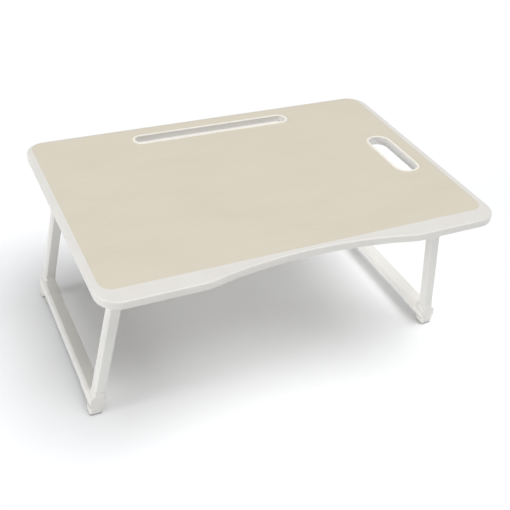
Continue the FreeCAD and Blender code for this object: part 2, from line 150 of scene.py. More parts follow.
laminateLook = {
    "pale": paint(220, 213, 197), "mid": paint(215, 207, 190), "dark": paint(203, 193, 171),
    "grain": ((26, 620, 40), 7.0, 0.62), "fibre": ((110, 2600, 60), 3.0, 0.6),
    "cloud": ((7, 16, 7), 3.0, 0.5), "grainShare": 0.6, "paleRange": (0.36, 0.66),
    "poreRange": (0.60, 0.78), "poreAmount": 0.38, "poreGrainRange": (0.40, 0.62), "poreLeast": 0.2,
    "cloudRange": (0.35, 0.7), "cloudAmount": 0.16, "roughness": (0.56, 0.44), "specular": 0.4,
    "poreDepth": 0.04 * mm,
}


def laminateFinish():
    look = laminateLook
    material, tree, shader = startMaterial("paleOakLaminate")
    grain = noise(tree, *look["grain"])
    fibre = noise(tree, *look["fibre"])
    cloud = noise(tree, *look["cloud"])
    coarse = combine(tree, "MULTIPLY", grain, look["grainShare"])
    fine = combine(tree, "MULTIPLY", fibre, 1 - look["grainShare"])
    mixed = combine(tree, "ADD", coarse, fine)
    body = mottled(tree, mixed, look["paleRange"], 1.0, look["mid"], look["pale"])
    inFibre = spread(tree, fibre, *look["poreRange"], 0.0, look["poreAmount"])
    inGrain = spread(tree, grain, *look["poreGrainRange"], look["poreLeast"], 1.0)
    pores = combine(tree, "MULTIPLY", inFibre, inGrain)
    veined = blendColours(tree, pores, body, look["dark"])
    clouded = mottled(tree, cloud, look["cloudRange"], look["cloudAmount"], veined, look["dark"])
    tree.links.new(clouded, shader.inputs["Base Color"])
    addRoughness(tree, shader, mixed, *look["roughness"])
    addBump(tree, shader, combine(tree, "SUBTRACT", mixed, pores), look["poreDepth"])
    shader.inputs["Specular IOR Level"].default_value = look["specular"]
    return material


plasticLook = {"tintRange": (0.35, 0.65), "specular": 0.45}  # shared by the mouldings
bandLook = dict(
    plasticLook, base=paint(229, 227, 222), shade=paint(225, 222, 217), roughness=(0.36, 0.46),
    tint=((18, 18, 30), 3.0, 0.5), grain=((1500, 1500, 1500), 2.0, 0.5), grainDepth=0.02 * mm)
trimLook = dict(
    plasticLook, base=paint(246, 243, 234), shade=paint(241, 237, 227), roughness=(0.30, 0.40),
    tint=((25, 25, 40), 3.0, 0.5), grain=((1900, 1900, 1900), 2.0, 0.5), grainDepth=0.016 * mm)
# the opening trim is the cream trim with painted shade: greyer below the deck inside the slot and hand
# hole, standing in for their shadow
openingPaintedShadeLook = dict(trimLook, paintedRecessShade=paint(229, 227, 223), paintedShadeFade=0.6 * mm)
jointLook = dict(
    plasticLook, base=paint(242, 240, 236), shade=paint(236, 234, 229), roughness=(0.40, 0.52),
    tint=((40, 40, 25), 3.0, 0.5), grain=((1300, 1300, 1300), 2.0, 0.5), grainDepth=0.05 * mm)


def mouldedFinish(name, look):  # satin plastic with a fine tool texture
    material, tree, shader = startMaterial(name)
    tint = noise(tree, *look["tint"])
    grain = noise(tree, *look["grain"])
    body = mottled(tree, tint, look["tintRange"], 1.0, look["base"], look["shade"])
    if "paintedRecessShade" in look:  # painted shade: the same plastic drawn greyer down inside an opening, standing in for its shadow
        split = tree.nodes.new("ShaderNodeSeparateXYZ")
        tree.links.new(stretched(tree, (1, 1, 1)), split.inputs["Vector"])
        deep = spread(tree, split.outputs["Z"], deckTop - look["paintedShadeFade"], deckTop, 1.0, 0.0)
        body = blendColours(tree, deep, body, look["paintedRecessShade"])
    tree.links.new(body, shader.inputs["Base Color"])
    addRoughness(tree, shader, tint, *look["roughness"])
    addBump(tree, shader, grain, look["grainDepth"])
    shader.inputs["Specular IOR Level"].default_value = look["specular"]
    return material


coatLook = {
    "base": paint(240, 239, 235), "shade": paint(235, 234, 230), "peel": ((620, 620, 620), 2.0, 0.45),
    "dust": ((2100, 2100, 2100), 1.0, 0.5), "drift": ((9, 9, 5), 3.0, 0.5),
    "driftRange": (0.35, 0.65), "dustRange": (0.62, 0.75), "dustAmount": 0.35,
    "roughness": (0.36, 0.46), "peelDepth": 0.07 * mm, "gloss": 0.12, "glossRoughness": 0.3,
}


def powderCoatFinish():
    look = coatLook
    material, tree, shader = startMaterial("legPowderCoat")
    peel = noise(tree, *look["peel"])
    dust = noise(tree, *look["dust"])
    drift = noise(tree, *look["drift"])
    body = mottled(tree, drift, look["driftRange"], 1.0, look["base"], look["shade"])
    flecked = mottled(tree, dust, look["dustRange"], look["dustAmount"], body, look["shade"])
    tree.links.new(flecked, shader.inputs["Base Color"])
    addRoughness(tree, shader, peel, *look["roughness"])
    addBump(tree, shader, peel, look["peelDepth"])
    shader.inputs["Coat Weight"].default_value = look["gloss"]
    shader.inputs["Coat Roughness"].default_value = look["glossRoughness"]
    return material


rubberLook = {
    "base": paint(168, 167, 164), "pale": paint(188, 187, 183), "grain": ((1100, 1100, 1100), 3.0, 0.6),
    "dust": ((90, 90, 60), 4.0, 0.6), "dustRange": (0.45, 0.75), "dustAmount": 0.7,
    "roughness": (0.72, 0.88), "grainDepth": 0.08 * mm,
}


def rubberFinish():
    look = rubberLook
    material, tree, shader = startMaterial("footRubber")
    grain = noise(tree, *look["grain"])
    dust = noise(tree, *look["dust"])
    coloured = mottled(tree, dust, look["dustRange"], look["dustAmount"], look["base"], look["pale"])
    tree.links.new(coloured, shader.inputs["Base Color"])
    addRoughness(tree, shader, dust, *look["roughness"])
    addBump(tree, shader, grain, look["grainDepth"])
    return material


steelLook = {
    "bright": paint(206, 206, 204), "dull": paint(168, 169, 170),
    "turning": ((900, 900, 5200), 2.0, 0.5), "cloud": ((260, 260, 260), 4.0, 0.6),
    "cloudRange": (0.35, 0.7), "roughness": (0.24, 0.42), "turnDepth": 0.01 * mm,
}


def steelFinish():
    look = steelLook
    material, tree, shader = startMaterial("zincPlatedSteel")
    turning = noise(tree, *look["turning"])
    cloud = noise(tree, *look["cloud"])
    coloured = mottled(tree, cloud, look["cloudRange"], 1.0, look["bright"], look["dull"])
    tree.links.new(coloured, shader.inputs["Base Color"])
    shader.inputs["Metallic"].default_value = 1.0
    addRoughness(tree, shader, cloud, *look["roughness"])
    addBump(tree, shader, turning, look["turnDepth"])
    return material


fibreLook = {
    "base": paint(186, 156, 118), "dark": paint(140, 110, 78), "pale": paint(206, 180, 144),
    "fleck": ((900, 900, 2600), 5.0, 0.7), "fleckRange": (0.4, 0.65), "fleckDepth": 0.1 * mm,
    "spotScale": (900, 900, 2600), "spotReach": 0.3, "spotAmount": 0.6, "roughness": 0.9,
}


def fibreboardFinish():
    look = fibreLook
    material, tree, shader = startMaterial("fibreboardCore")
    fleck = noise(tree, *look["fleck"])
    body = mottled(tree, fleck, look["fleckRange"], 1.0, look["base"], look["pale"])
    near = spread(tree, spots(tree, look["spotScale"]), 0.0, look["spotReach"], look["spotAmount"], 0.0)
    coloured = blendColours(tree, near, body, look["dark"])
    tree.links.new(coloured, shader.inputs["Base Color"])
    shader.inputs["Roughness"].default_value = look["roughness"]
    addBump(tree, shader, fleck, look["fleckDepth"])
    return material


backingLook = {
    "base": paint(232, 229, 222), "shade": paint(224, 220, 211), "dark": paint(210, 205, 194),
    "cloud": ((6, 9, 6), 4.0, 0.5), "cloudRange": (0.35, 0.65), "fleck": ((420, 1500, 400), 4.0, 0.6),
    "fleckRange": (0.58, 0.75), "fleckAmount": 0.5, "roughness": (0.5, 0.62), "fleckDepth": 0.03 * mm,
}


def backingFinish():
    look = backingLook
    material, tree, shader = startMaterial("backingLaminate")
    cloud = noise(tree, *look["cloud"])
    fleck = noise(tree, *look["fleck"])
    body = mottled(tree, cloud, look["cloudRange"], 1.0, look["base"], look["shade"])
    coloured = mottled(tree, fleck, look["fleckRange"], look["fleckAmount"], body, look["dark"])
    tree.links.new(coloured, shader.inputs["Base Color"])
    addRoughness(tree, shader, cloud, *look["roughness"])
    addBump(tree, shader, fleck, look["fleckDepth"])
    return material


nylonLook = {
    "base": paint(224, 223, 214), "shade": paint(208, 206, 194), "grain": ((700, 700, 700), 3.0, 0.5),
    "grainRange": (0.4, 0.65), "roughness": (0.35, 0.5), "grainDepth": 0.03 * mm,
    "milkiness": 0.15, "milkyDepth": (2 * mm, 2 * mm, 1.5 * mm),
}


def nylonFinish():
    look = nylonLook
    material, tree, shader = startMaterial("naturalNylon")
    grain = noise(tree, *look["grain"])
    coloured = mottled(tree, grain, look["grainRange"], 1.0, look["base"], look["shade"])
    tree.links.new(coloured, shader.inputs["Base Color"])
    addRoughness(tree, shader, grain, *look["roughness"])
    shader.inputs["Subsurface Weight"].default_value = look["milkiness"]
    shader.inputs["Subsurface Radius"].default_value = look["milkyDepth"]
    addBump(tree, shader, grain, look["grainDepth"])
    return material


laminate = laminateFinish()
bandPlastic = mouldedFinish("bandPlastic", bandLook)
trimPlastic = mouldedFinish("creamTrimPlastic", trimLook)
openingPaintedShadePlastic = mouldedFinish("openingTrimPaintedShade", openingPaintedShadeLook)
jointPlastic = mouldedFinish("jointPlastic", jointLook)
legCoat = powderCoatFinish()
footRubber = rubberFinish()
zincSteel = steelFinish()
fibreboard = fibreboardFinish()
backing = backingFinish()
nylon = nylonFinish()
print("materials made")


# shared mesh code

def pieceName(node):  # left_front_corner becomes leftFrontCorner
    words = node.split("_")
    return words[0] + "".join(word.capitalize() for word in words[1:])


def turnedOutline(points, radii, steps):  # closed flat outline, each corner turned by an arc
    outline = []
    count = len(points)
    for i, corner in enumerate(points):
        here = Vector(corner)
        before = (Vector(points[i - 1]) - here).normalized()
        after = (Vector(points[(i + 1) % count]) - here).normalized()
        if radii[i] <= 0:
            outline.append(here)
            continue
        half = before.angle(after) / 2
        centre = here + (before + after).normalized() * (radii[i] / math.sin(half))
        start = here + before * (radii[i] / math.tan(half)) - centre
        end = here + after * (radii[i] / math.tan(half)) - centre
        sweep = start.angle_signed(end)
        for k in range(steps + 1):
            angle = -sweep * k / steps
            turned = Vector((start.x * math.cos(angle) - start.y * math.sin(angle),
                             start.x * math.sin(angle) + start.y * math.cos(angle)))
            outline.append(centre + turned)
    return outline


def loftedMesh(name, rings, capped=False):  # rings joined in turn, the last to the first unless capped
    build = bmesh.new()
    rows = [[build.verts.new(point) for point in ring] for ring in rings]
    count = len(rings[0])
    pairs = list(zip(rows, rows[1:]))
    if not capped:
        pairs.append((rows[-1], rows[0]))
    for lower, upper in pairs:
        for i in range(count):
            j = (i + 1) % count
            build.faces.new((lower[i], lower[j], upper[j], upper[i]))
    if capped:
        build.faces.new(rows[0])
        build.faces.new(rows[-1])
    bmesh.ops.recalc_face_normals(build, faces=build.faces)
    mesh = bpy.data.meshes.new(name)
    build.to_mesh(mesh)
    build.free()
    return mesh


edgeLook = {"merge": 0.002 * mm, "flatAngle": 0.5, "hardAngle": 28, "sharpAngle": 38}  # angles in degrees


def softenedCopy(node, name, easing, steps):  # copy of a CAD mesh, its hard edges rounded
    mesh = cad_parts[node].data.copy()
    mesh.name = name
    mesh.materials.clear()
    build = bmesh.new()
    build.from_mesh(mesh)
    bmesh.ops.remove_doubles(build, verts=build.verts, dist=edgeLook["merge"])
    flat = math.radians(edgeLook["flatAngle"])
    bmesh.ops.dissolve_limit(build, angle_limit=flat, verts=build.verts, edges=build.edges)
    limit = math.radians(edgeLook["hardAngle"])
    hard = [edge for edge in build.edges if edge.is_manifold and edge.calc_face_angle() > limit]
    bmesh.ops.bevel(build, geom=hard, offset=easing, offset_type="OFFSET", segments=steps,
                    profile=0.5, affect="EDGES", clamp_overlap=True)
    bmesh.ops.recalc_face_normals(build, faces=build.faces)
    build.to_mesh(mesh)
    build.free()
    mesh.update()
    return mesh


def placePiece(name, mesh, material, body, replaced):
    piece = bpy.data.objects.new(name, mesh)
    bpy.context.scene.collection.objects.link(piece)
    if not mesh.materials:  # what Geometry Nodes grew has its own already
        mesh.materials.append(material)
    for face in mesh.polygons:
        face.use_smooth = True
    mesh.set_sharp_from_angle(angle=math.radians(edgeLook["sharpAngle"]))
    steady = piece.modifiers.new("evenShading", "WEIGHTED_NORMAL")
    steady.keep_sharp = True
    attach(piece, body)
    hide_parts(*replaced)


def slabLoop(low, high, radius, grow, z, steps):  # rounded rectangle, grown all round
    corners = [(low[0] - grow, low[1] - grow), (high[0] + grow, low[1] - grow),
               (high[0] + grow, high[1] + grow), (low[0] - grow, high[1] + grow)]
    flat = turnedOutline(corners, [radius + grow] * 4, steps)
    return [Vector((point.x, point.y, z)) for point in flat]


def sweptSlab(name, low, high, radius, profile, steps, capped=False):  # profile is (grow, z) pairs
    rings = [slabLoop(low, high, radius, grow, z, steps) for grow, z in profile]
    return loftedMesh(name, rings, capped)


def easedProfile(points, radii, steps):
    return [(point.x, point.y) for point in turnedOutline(points, radii, steps)]


def cadPlan(node):  # plan box of a node, as two flat corners
    low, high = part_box(node)
    return (low.x, low.y), (high.x, high.y)


# the board

boardLook = {
    "cornerRadius": 32 * mm, "decorRadius": 18 * mm, "hollowDepth": 19 * mm, "hollowRadius": 660 * mm,
    "shoulderRadius": 55 * mm, "topRound": 2 * mm, "bottomRound": 1.5 * mm, "seamRound": 0.25 * mm,
    "grooveDepth": 1.5 * mm, "cornerSteps": 20, "shoulderSteps": 14, "hollowSteps": 60,
    "roundSteps": 8, "seamSteps": 3, "decorEasing": 0.2 * mm, "decorEasingSteps": 2,
}
boardLow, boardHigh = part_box("edge_moulding")
decorLow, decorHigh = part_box("decor_sheet")
coreLow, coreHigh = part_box("core_board")


def outlineStops():  # round the board: each stop's arc centre and radius, its angle, and which arc
    look = boardLook
    halfWidth = boardHigh.x
    front, back = boardLow.y, boardHigh.y
    radius = look["cornerRadius"]
    bellyY = front + look["hollowDepth"] - look["hollowRadius"]
    shoulderY = front + look["shoulderRadius"]
    reach = look["hollowRadius"] + look["shoulderRadius"]
    shoulderX = math.sqrt(reach ** 2 - (shoulderY - bellyY) ** 2)
    lean = math.asin(shoulderX / reach)
    quarter = math.pi / 2
    arcs = [((shoulderX, shoulderY), look["shoulderRadius"], -quarter - lean, -quarter, "front"),
            ((halfWidth - radius, front + radius), radius, -quarter, 0, (1, -1)),
            ((halfWidth - radius, back - radius), radius, 0, quarter, (1, 1)),
            ((radius - halfWidth, back - radius), radius, quarter, 2 * quarter, (-1, 1)),
            ((radius - halfWidth, front + radius), radius, 2 * quarter, 3 * quarter, (-1, -1)),
            ((-shoulderX, shoulderY), look["shoulderRadius"], -quarter, lean - quarter, "front"),
            ((0, bellyY), look["hollowRadius"], quarter + lean, quarter - lean, "hollow")]
    arcSteps = {"hollow": look["hollowSteps"], "front": look["shoulderSteps"]}
    stops = []
    for centre, size, start, end, kind in arcs:
        steps = arcSteps.get(kind, look["cornerSteps"])
        first, last = (1, steps) if kind == "hollow" else (0, steps + 1)  # its ends are the shoulders'
        for k in range(first, last):
            stops.append((centre, size, start + (end - start) * k / steps, kind))
    return stops


boardStops = outlineStops()


def outerLoop(inset, z):
    loop = []
    for (centreX, centreY), size, angle, kind in boardStops:
        reach = size + inset if kind == "hollow" else size - inset
        loop.append(Vector((centreX + reach * math.cos(angle), centreY + reach * math.sin(angle), z)))
    return loop


def innerLoop(grow, z):  # the decor sheet's outline, with one point for each outer one
    loop = []
    radius = boardLook["decorRadius"]
    for centre, size, angle, kind in boardStops:
        if kind in ("front", "hollow"):
            x = centre[0] + size * math.cos(angle)
            loop.append(Vector((x, decorLow.y - grow, z)))
            continue
        x = (decorHigh.x - radius) * kind[0]
        y = decorHigh.y - radius if kind[1] > 0 else decorLow.y + radius
        reach = radius + grow
        loop.append(Vector((x + reach * math.cos(angle), y + reach * math.sin(angle), z)))
    return loop


def roundRings(loopAt, size, z, downwards, steps):  # quarter round between a flat and a wall
    rings = []
    for k in range(steps + 1):
        angle = math.pi / 2 * k / steps
        inset = size * (1 - math.sin(angle))
        drop = size * (1 - math.cos(angle))
        rings.append(loopAt(inset, z - drop if downwards else z + drop))
    return rings


def makeEdgeMoulding():
    look = boardLook
    top, bottom = boardHigh.z, boardLow.z
    seam = look["seamRound"]
    groove = look["grooveDepth"]
    rings = [innerLoop(0, bottom), innerLoop(0, coreLow.z), innerLoop(groove, coreLow.z),
             innerLoop(groove, coreHigh.z), innerLoop(0, coreHigh.z)]
    seamRings = roundRings(lambda inset, z: innerLoop(seam - inset, z), seam, top, True, look["seamSteps"])
    rings += reversed(seamRings)
    rings += roundRings(outerLoop, look["topRound"], top, True, look["roundSteps"])
    rings += reversed(roundRings(outerLoop, look["bottomRound"], bottom, False, look["roundSteps"]))
    mesh = loftedMesh("edgeMoulding", rings)
    placePiece("edgeMoulding", mesh, bandPlastic, "tabletop", ["edge_moulding"])


def makeBoardSheets():
    look = boardLook
    mesh = softenedCopy("decor_sheet", "decorSheet", look["decorEasing"], look["decorEasingSteps"])
    placePiece("decorSheet", mesh, laminate, "tabletop", ["decor_sheet"])
    for node, material in (("core_board", fibreboard), ("backing_sheet", backing)):
        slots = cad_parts[node].data.materials
        slots.clear()
        slots.append(material)


makeEdgeMoulding()
print("edge moulding made")
makeBoardSheets()
print("board sheets made")


# the tablet slot's tray and the hand hole's liner

insertLook = {
    "rim": 4 * mm, "slotWall": 1.2 * mm, "slotFloor": 1.2 * mm, "handleWall": 1.6 * mm,
    "topRound": 0.5 * mm, "innerRound": 0.4 * mm, "floorRound": 1.2 * mm, "slotRadius": 14.5 * mm,
    "handleRadius": 20 * mm, "ringReach": 4 * mm, "ringClearance": 0.05 * mm,
    "hairRound": 0.1 * mm, "cornerSteps": 24, "profileSteps": 5,
}


def rimProfile(wall, low, high):  # outside of the wall, under the rim, over it, to its inner edge
    rim = insertLook["rim"]
    return [Vector((wall - rim, low)), Vector((wall - rim, deckTop)), Vector((0, deckTop)),
            Vector((0, high)), Vector((-rim, high))]


def makeSlotTray():
    look = insertLook
    low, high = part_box("tablet_slot_tray")
    floor = low.z + look["slotFloor"]
    deep = -look["rim"] - 2 * look["floorRound"]
    points = rimProfile(look["slotWall"], low.z, high.z)
    points = [Vector((deep, low.z))] + points + [Vector((-look["rim"], floor)), Vector((deep, floor))]
    hair = look["hairRound"]
    radii = [0, hair, hair, hair, look["topRound"], look["innerRound"], look["floorRound"], 0]
    profile = easedProfile(points, radii, look["profileSteps"])
    mesh = sweptSlab("tabletSlotTray", *cadPlan("tablet_slot_tray"), look["slotRadius"], profile,
                     look["cornerSteps"], capped=True)
    placePiece("tabletSlotTray", mesh, openingPaintedShadePlastic, "tabletop", ["tablet_slot_tray"])


def makeHandleLiner():
    look = insertLook
    low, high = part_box("handle_liner")
    points = rimProfile(look["handleWall"], low.z, high.z) + [Vector((-look["rim"], low.z))]
    hair = look["hairRound"]
    radii = [hair, hair, hair, look["topRound"], look["innerRound"], hair]
    profile = easedProfile(points, radii, look["profileSteps"])
    mesh = sweptSlab("handleLiner", *cadPlan("handle_liner"), look["handleRadius"], profile,
                     look["cornerSteps"])
    placePiece("handleLiner", mesh, openingPaintedShadePlastic, "tabletop", ["handle_liner"])


def makeHandleRing():
    look = insertLook
    low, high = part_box("handle_lower_ring")
    inner = look["ringClearance"] - look["ringReach"]
    points = [Vector((0, high.z)), Vector((0, low.z)), Vector((inner, low.z)), Vector((inner, high.z))]
    radii = [look["hairRound"], look["topRound"], look["innerRound"], look["hairRound"]]
    profile = easedProfile(points, radii, look["profileSteps"])
    radius = look["handleRadius"] + look["handleWall"] - look["rim"] + look["ringReach"]
    mesh = sweptSlab("handleLowerRing", *cadPlan("handle_lower_ring"), radius, profile,
                     look["cornerSteps"])
    placePiece("handleLowerRing", mesh, trimPlastic, "tabletop", ["handle_lower_ring"])


makeSlotTray()
makeHandleLiner()
makeHandleRing()
print("slot tray and hand hole made")


# the legs

legLook = {
    "splay": math.radians(9.5), "barHeight": 24 * mm, "upright": (16 * mm, 18 * mm),
    "bar": (18 * mm, 22 * mm), "wall": 1.2 * mm, "chamfer": 3 * mm, "edgeRound": 0.8 * mm,
    "innerRound": 0.4 * mm, "endRound": 0.15 * mm, "edgeSteps": 4, "knuckleLength": 14 * mm,
    "armUp": 20 * mm, "armAlong": 40 * mm,  # from a corner to where the upright and the bar end
}


def hingePoint(side, end):
    low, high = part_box(side + "_" + end + "_hinge_rivet")
    return (low + high) / 2


def legAxes(side):  # outwards and up, along the open leg
    lean = legLook["splay"]
    sign = sideNames[side]
    outward = Vector((sign * math.cos(lean), 0, math.sin(lean)))
    upward = Vector((-sign * math.sin(lean), 0, math.cos(lean)))
    return outward, upward


def tubeOutline(section, shrink, eased):  # chamfered, and smaller all round by shrink
    look = legLook
    halfWidth = section[0] / 2 - shrink
    halfDepth = section[1] / 2 - shrink
    chamfer = look["chamfer"] - shrink * (2 - math.sqrt(2))
    corners = []
    for signU, signV, turn in ((1, 1, 1), (-1, 1, -1), (-1, -1, 1), (1, -1, -1)):
        pair = [(signU * halfWidth, signV * (halfDepth - chamfer)),
                (signU * (halfWidth - chamfer), signV * halfDepth)]
        corners += pair if turn > 0 else list(reversed(pair))
    return turnedOutline(corners, [eased] * len(corners), look["edgeSteps"])


def tubeMesh(name, section, start, end, widthAxis, depthAxis):
    look = legLook
    along = (end - start).normalized()
    length = (end - start).length
    eased = look["endRound"]
    middle = eased * 0.3  # about half way round the end's rounded edge
    stops = [(0.0, eased), (middle, middle), (eased, 0.0)]
    outer = stops + [(length - away, inset) for away, inset in reversed(stops)]
    inner = [(length, look["wall"]), (0.0, look["wall"])]
    rings = []
    for face, rounding in ((outer, look["edgeRound"]), (inner, look["innerRound"])):
        for away, inset in face:
            flat = tubeOutline(section, inset, rounding)
            rings.append([start + along * away + widthAxis * p.x + depthAxis * p.y for p in flat])
    return loftedMesh(name, rings)


def makeTubes(side):
    look = legLook
    outward, upward = legAxes(side)
    depthwise = Vector((0, 1, 0))
    hinges = {end: hingePoint(side, end) for end in endNames}
    barDrop = (hinges["rear"].z - look["barHeight"]) / math.cos(look["splay"])
    for end, hinge in hinges.items():
        node = side + "_" + end + "_upright"
        top = hinge - upward * look["knuckleLength"]
        foot = hinge - upward * (barDrop - look["armUp"])
        mesh = tubeMesh(pieceName(node), look["upright"], top, foot, depthwise, outward)
        placePiece(pieceName(node), mesh, legCoat, side + "_leg", [node])
    node = side + "_bottom_bar"
    near = hinges["front"] - upward * barDrop + depthwise * look["armAlong"]
    far = hinges["rear"] - upward * barDrop - depthwise * look["armAlong"]
    mesh = tubeMesh(pieceName(node), look["bar"], near, far, upward, outward)
    placePiece(pieceName(node), mesh, legCoat, side + "_leg", [node])


mouldedLook = {  # how far the hard edges are rounded, and in how many steps
    "corner": (1.5 * mm, 4), "end_fitting": (0.9 * mm, 3), "hinge_bracket": (0.5 * mm, 2),
    "foot_pad": (1.2 * mm, 4),
}


def makeMouldings(side, end):
    for kind, (easing, steps) in mouldedLook.items():
        node = side + "_" + end + "_" + kind
        body = "tabletop" if kind == "hinge_bracket" else side + "_leg"
        material = footRubber if kind == "foot_pad" else jointPlastic
        mesh = softenedCopy(node, pieceName(node), easing, steps)
        placePiece(pieceName(node), mesh, material, body, [node])


for sideName in sideNames:
    makeTubes(sideName)
    for endName in endNames:
        makeMouldings(sideName, endName)
print("legs made")


# screws, rivets and washers, grown on points by Geometry Nodes

growthLook = {"headSides": 32, "headRings": 14, "screwSides": 24, "rivetSides": 32}


def addNode(tree, kind, inputs, **settings):
    node = tree.nodes.new(kind)
    for setting, value in settings.items():
        setattr(node, setting, value)
    for label, value in inputs.items():
        plug(tree, node.inputs[label], value)
    return node


def startGrowth(name, sizes):  # a tree that sets a shape on each point of a mesh
    tree = bpy.data.node_groups.new(name, "GeometryNodeTree")
    tree.interface.new_socket("Geometry", in_out="OUTPUT", socket_type="NodeSocketGeometry")
    tree.interface.new_socket("Points", in_out="INPUT", socket_type="NodeSocketGeometry")
    for label, value in sizes.items():
        kind = "NodeSocketInt" if isinstance(value, int) else "NodeSocketFloat"
        tree.interface.new_socket(label, in_out="INPUT", socket_type=kind)
    tree.interface.new_socket("Finish", in_out="INPUT", socket_type="NodeSocketMaterial")
    return tree, tree.nodes.new("NodeGroupInput").outputs


def moved(tree, geometry, x=0.0, y=0.0, z=0.0, turn=(0, 0, 0)):
    place = addNode(tree, "ShaderNodeCombineXYZ", {"X": x, "Y": y, "Z": z})
    inputs = {"Geometry": geometry, "Translation": place.outputs["Vector"], "Rotation": turn}
    return addNode(tree, "GeometryNodeTransform", inputs).outputs["Geometry"]


def addRod(tree, radius, length, sides):  # from z = 0 down
    inputs = {"Vertices": sides, "Radius": radius, "Depth": length}
    rod = addNode(tree, "GeometryNodeMeshCylinder", inputs).outputs["Mesh"]
    return moved(tree, rod, z=combine(tree, "MULTIPLY", length, -0.5))


def addPanHead(tree, radius, height, rounding):  # from z = 0 up, its top edge turned over
    inputs = {"Vertices": growthLook["headSides"], "Fill Segments": growthLook["headRings"],
              "Radius": radius, "Depth": height}
    disc = addNode(tree, "GeometryNodeMeshCylinder", inputs).outputs["Mesh"]
    disc = moved(tree, disc, z=combine(tree, "MULTIPLY", height, 0.5))
    place = addNode(tree, "GeometryNodeInputPosition", {}).outputs["Position"]
    split = addNode(tree, "ShaderNodeSeparateXYZ", {"Vector": place}).outputs
    flat = addNode(tree, "ShaderNodeCombineXYZ", {"X": split["X"], "Y": split["Y"]}).outputs["Vector"]
    away = addNode(tree, "ShaderNodeVectorMath", {0: flat}, operation="LENGTH").outputs["Value"]
    past = combine(tree, "SUBTRACT", away, combine(tree, "SUBTRACT", radius, rounding))
    past = combine(tree, "MAXIMUM", past, 0.0)
    squares = combine(tree, "SUBTRACT", combine(tree, "POWER", rounding, 2.0),
                      combine(tree, "POWER", past, 2.0))
    fall = combine(tree, "SQRT", combine(tree, "MAXIMUM", squares, 0.0), 0.0)
    drop = combine(tree, "SUBTRACT", fall, rounding)
    onTop = combine(tree, "GREATER_THAN", split["Z"], combine(tree, "MULTIPLY", height, 0.5))
    shift = addNode(tree, "ShaderNodeCombineXYZ", {"Z": combine(tree, "MULTIPLY", drop, onTop)})
    inputs = {"Geometry": disc, "Offset": shift.outputs["Vector"]}
    return addNode(tree, "GeometryNodeSetPosition", inputs).outputs["Geometry"]


def united(tree, parts):
    node = addNode(tree, "GeometryNodeMeshBoolean", {}, operation="UNION")
    for part in parts:
        tree.links.new(part, node.inputs["Mesh 2"])
    return node.outputs["Mesh"]


def without(tree, whole, parts):
    node = addNode(tree, "GeometryNodeMeshBoolean", {"Mesh 1": whole}, operation="DIFFERENCE")
    for part in parts:
        tree.links.new(part, node.inputs["Mesh 2"])
    return node.outputs["Mesh"]


def finishGrowth(tree, given, shape):  # on each point, facing its own way, at a seeded twist
    facing = addNode(tree, "GeometryNodeInputNamedAttribute", {"Name": "facing"}, data_type="FLOAT_VECTOR")
    inputs = {"Vector": facing.outputs["Attribute"]}
    turn = addNode(tree, "FunctionNodeAlignRotationToVector", inputs, axis="Z")
    chance = addNode(tree, "FunctionNodeRandomValue", {"Seed": given["Seed"]}, data_type="FLOAT")
    twist = combine(tree, "MULTIPLY", chance.outputs[1], given["Twist"])
    twisted = addNode(tree, "FunctionNodeAxisAngleToRotation", {"Axis": (0, 0, 1), "Angle": twist})
    inputs = {"Rotation": turn.outputs["Rotation"], "Rotate By": twisted.outputs["Rotation"]}
    turn = addNode(tree, "FunctionNodeRotateRotation", inputs, rotation_space="LOCAL")
    inputs = {"Points": given["Points"], "Instance": shape, "Rotation": turn.outputs["Rotation"]}
    placed = addNode(tree, "GeometryNodeInstanceOnPoints", inputs).outputs["Instances"]
    real = addNode(tree, "GeometryNodeRealizeInstances", {"Geometry": placed}).outputs["Geometry"]
    inputs = {"Geometry": real, "Material": given["Finish"]}
    finished = addNode(tree, "GeometryNodeSetMaterial", inputs).outputs["Geometry"]
    addNode(tree, "NodeGroupOutput", {"Geometry": finished})
    return tree


def screwGrowth(sizes):
    tree, given = startGrowth("panHeadScrews", sizes)
    head = addPanHead(tree, given["Head Radius"], given["Head Height"], given["Head Round"])
    body = combine(tree, "SUBTRACT", given["Length"], given["Tip Length"])
    shank = addRod(tree, given["Shank Radius"], body, growthLook["screwSides"])
    inputs = {"Vertices": growthLook["screwSides"], "Radius Top": given["Shank Radius"],
              "Radius Bottom": given["Tip Radius"], "Depth": given["Tip Length"]}
    tip = addNode(tree, "GeometryNodeMeshCone", inputs).outputs["Mesh"]
    tip = moved(tree, tip, z=combine(tree, "MULTIPLY", given["Length"], -1.0))
    whole = united(tree, [head, shank, tip])
    arms = []
    for first, second in (("Cross Arm", "Cross Width"), ("Cross Width", "Cross Arm")):
        deep = combine(tree, "MULTIPLY", given["Cross Depth"], 2.0)
        size = addNode(tree, "ShaderNodeCombineXYZ", {"X": given[first], "Y": given[second], "Z": deep})
        arm = addNode(tree, "GeometryNodeMeshCube", {"Size": size.outputs["Vector"]}).outputs["Mesh"]
        arms.append(moved(tree, arm, z=given["Head Height"]))
    return finishGrowth(tree, given, without(tree, whole, arms))


def rivetGrowth(sizes):
    tree, given = startGrowth("hingeRivets", sizes)
    half = combine(tree, "MULTIPLY", given["Grip"], 0.5)
    rod = addRod(tree, given["Shank Radius"], given["Grip"], growthLook["rivetSides"])
    shank = moved(tree, rod, z=half)
    head = addPanHead(tree, given["Head Radius"], given["Head Height"], given["Head Round"])
    near = moved(tree, head, z=half)
    far = moved(tree, head, z=combine(tree, "MULTIPLY", half, -1.0), turn=(math.pi, 0, 0))
    return finishGrowth(tree, given, united(tree, [shank, near, far]))


def washerGrowth(sizes):
    tree, given = startGrowth("hingeWashers", sizes)
    disc = addPanHead(tree, given["Radius"], given["Thickness"], given["Edge Round"])
    long = combine(tree, "MULTIPLY", given["Thickness"], 4.0)  # stands out past both faces
    rod = addRod(tree, given["Hole Radius"], long, growthLook["rivetSides"])
    hole = moved(tree, rod, z=combine(tree, "MULTIPLY", given["Thickness"], 2.0))
    return finishGrowth(tree, given, without(tree, disc, [hole]))


